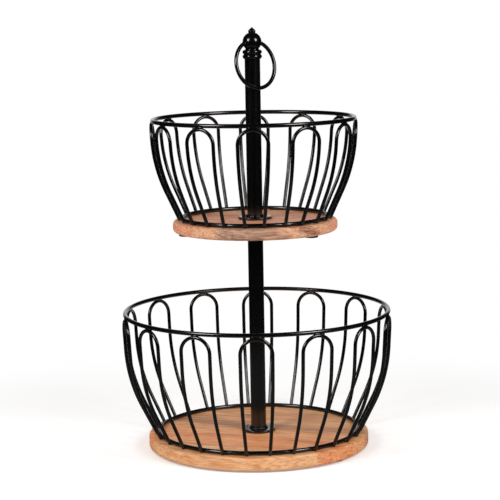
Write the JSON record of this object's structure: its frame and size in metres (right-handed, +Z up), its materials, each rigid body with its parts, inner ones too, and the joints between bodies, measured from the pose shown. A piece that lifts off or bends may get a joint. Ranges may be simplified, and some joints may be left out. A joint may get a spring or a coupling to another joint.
{
  "type": "tiered wire basket",
  "caption": "Tiered wire fruit basket: bowls of looped black wire on round wooden bases, stacked on a central post topped by a turned finial with a swinging carrying ring.",
  "frame": {"origin": "on the post's axis, at the table under the feet", "axes": "+Z up along the post, -Y towards the pictured front, +X to the right"},
  "size_m": [0.305, 0.3064, 0.4778],
  "materials": {
    "wood": "satin lacquered hardwood",
    "black_coat": "satin black powder coat",
    "zinc_steel": "bright zinc plate",
    "rubber": "matt black"
  },
  "bodies": {
    "stand": {"lower_base": "wood", "lower_rim": "black_coat", "lower_base_ring": "black_coat", "lower_flange": "black_coat", "lower_post": "black_coat", "lower_loop_01": "black_coat", "lower_loop_02": "black_coat", "lower_loop_03": "black_coat", "lower_loop_04": "black_coat", "lower_loop_05": "black_coat", "lower_loop_06": "black_coat", "lower_loop_07": "black_coat", "lower_loop_08": "black_coat", "lower_loop_09": "black_coat", "lower_loop_10": "black_coat", "lower_loop_11": "black_coat", "lower_loop_12": "black_coat", "lower_loop_13": "black_coat", "lower_loop_14": "black_coat", "lower_cage_studs": "zinc_steel", "lower_cage_washers": "zinc_steel", "lower_cage_nuts": "zinc_steel", "lower_post_bottom_plug": "zinc_steel", "lower_post_top_plug": "zinc_steel", "lower_foot_1": "rubber", "lower_foot_2": "rubber", "lower_foot_3": "rubber", "upper_base": "wood", "upper_rim": "black_coat", "upper_base_ring": "black_coat", "upper_flange": "black_coat", "upper_post": "black_coat", "upper_loop_01": "black_coat", "upper_loop_02": "black_coat", "upper_loop_03": "black_coat", "upper_loop_04": "black_coat", "upper_loop_05": "black_coat", "upper_loop_06": "black_coat", "upper_loop_07": "black_coat", "upper_loop_08": "black_coat", "upper_loop_09": "black_coat", "upper_loop_10": "black_coat", "upper_loop_11": "black_coat", "upper_loop_12": "black_coat", "upper_cage_studs": "zinc_steel", "upper_cage_washers": "zinc_steel", "upper_cage_nuts": "zinc_steel", "upper_post_bottom_plug": "zinc_steel", "upper_post_top_plug": "zinc_steel", "upper_foot_1": "rubber", "upper_foot_2": "rubber", "upper_foot_3": "rubber", "base_bolt": "zinc_steel", "base_bolt_washer": "zinc_steel", "joining_stud": "zinc_steel", "finial": "black_coat"},
    "ring": {"ring_handle": "black_coat"}
  },
  "joints": [
    {"name": "ring_swing", "type": "hinge", "parent": "stand", "child": "ring", "pos_m": [0, 0, 0.4614], "axis": [-0.7793, -0.6266, 0], "range_deg": [0, 335.1]}
  ]
}
